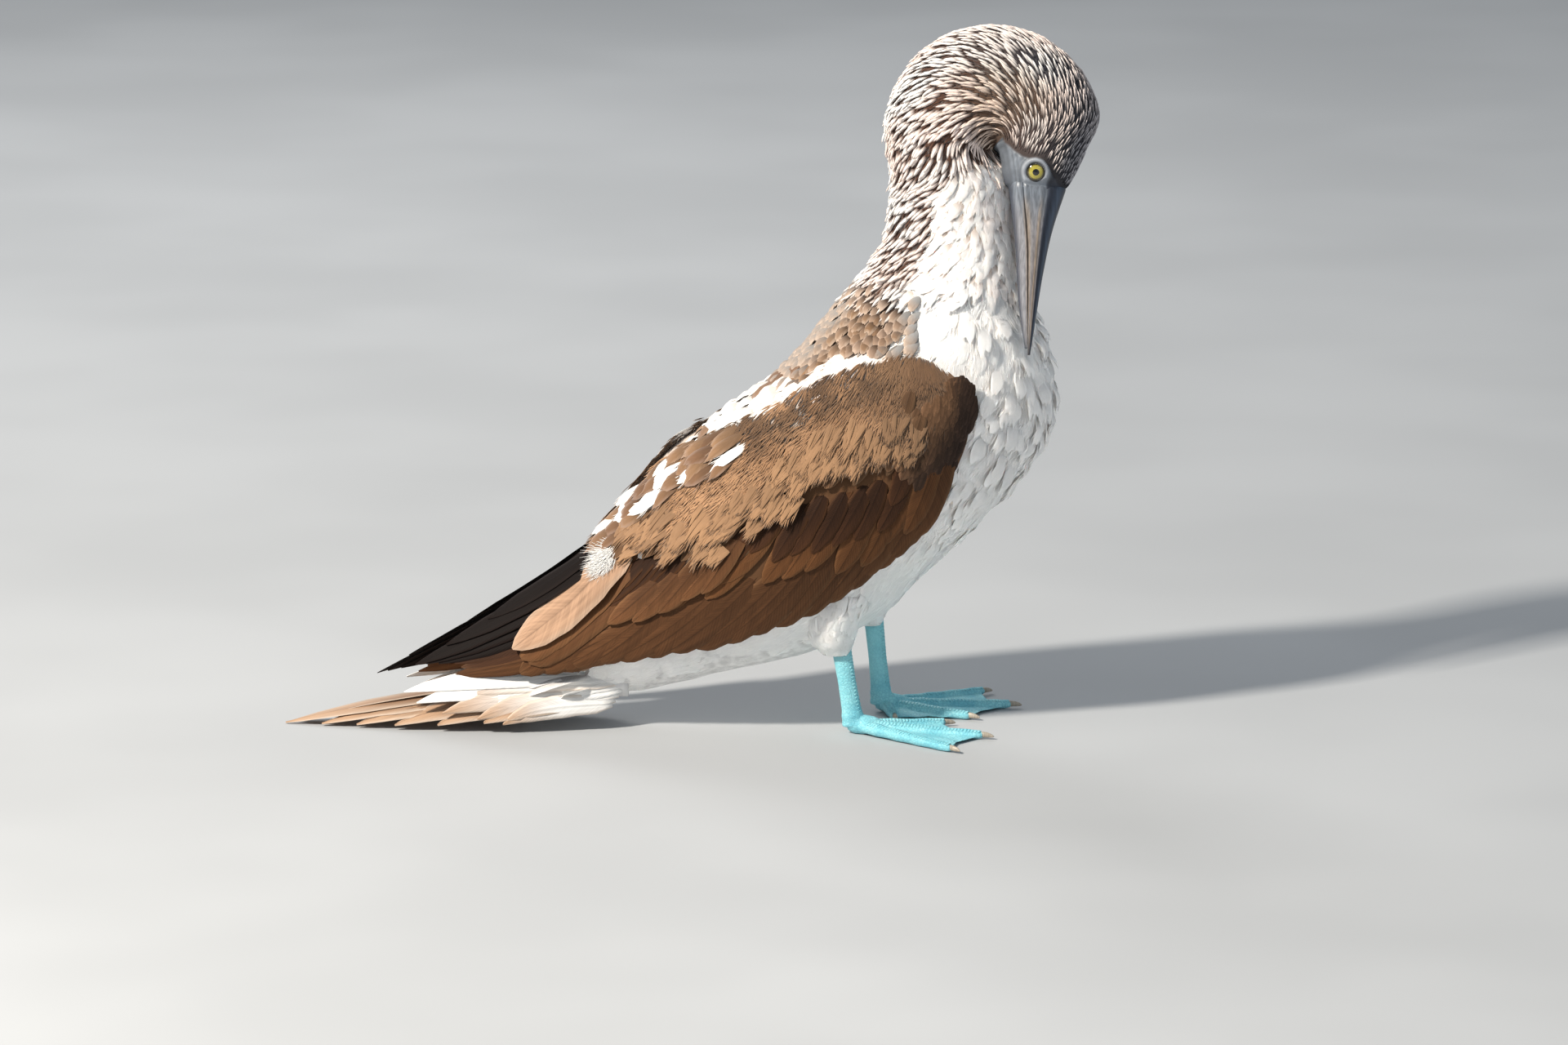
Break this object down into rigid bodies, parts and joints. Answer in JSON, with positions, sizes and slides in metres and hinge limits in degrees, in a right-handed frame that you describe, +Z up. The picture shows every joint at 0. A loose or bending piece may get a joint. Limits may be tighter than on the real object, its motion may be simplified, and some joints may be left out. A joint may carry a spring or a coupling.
{
  "type": "blue-footed booby",
  "caption": "Standing seabird model with a bowed long bill, folded wings, a pointed tail and broad webbed blue feet.",
  "frame": {"origin": "centre of the bottom of the bird's box, on the floor that it stands on", "axes": "+X the way the body faces, +Y the bird's left, +Z up"},
  "size_m": [0.5072, 0.168, 0.4413],
  "materials": {
    "white_feathers": "soft matt white body feathers",
    "streaked_feathers": "matt brown pointed feathers with white tips",
    "brown_feathers": "brown wing feathers with paler edges and faint sheen",
    "tail_feathers": "pale brown tail feathers bleached at the tips",
    "bill_horn": "grey horn with a low sheen",
    "blue_skin": "scaled sky-blue skin",
    "iris": "wet yellow iris with a black pupil",
    "claw_horn": "pale horn"
  },
  "bodies": {
    "root": {"bill_lower": "bill_horn", "bill_upper": "bill_horn", "claw_left_hind": "claw_horn", "claw_left_inner": "claw_horn", "claw_left_middle": "claw_horn", "claw_left_outer": "claw_horn", "claw_right_hind": "claw_horn", "claw_right_inner": "claw_horn", "claw_right_middle": "claw_horn", "claw_right_outer": "claw_horn", "eye_left": "iris", "eye_right": "iris", "foot_left": "blue_skin", "foot_right": "blue_skin", "head": "streaked_feathers", "leg_left": "blue_skin", "leg_right": "blue_skin", "neck": "streaked_feathers", "tail": "tail_feathers", "thigh_left": "white_feathers", "thigh_right": "white_feathers", "torso": "white_feathers", "wing_left": "brown_feathers", "wing_right": "brown_feathers"}
  },
  "joints": []
}
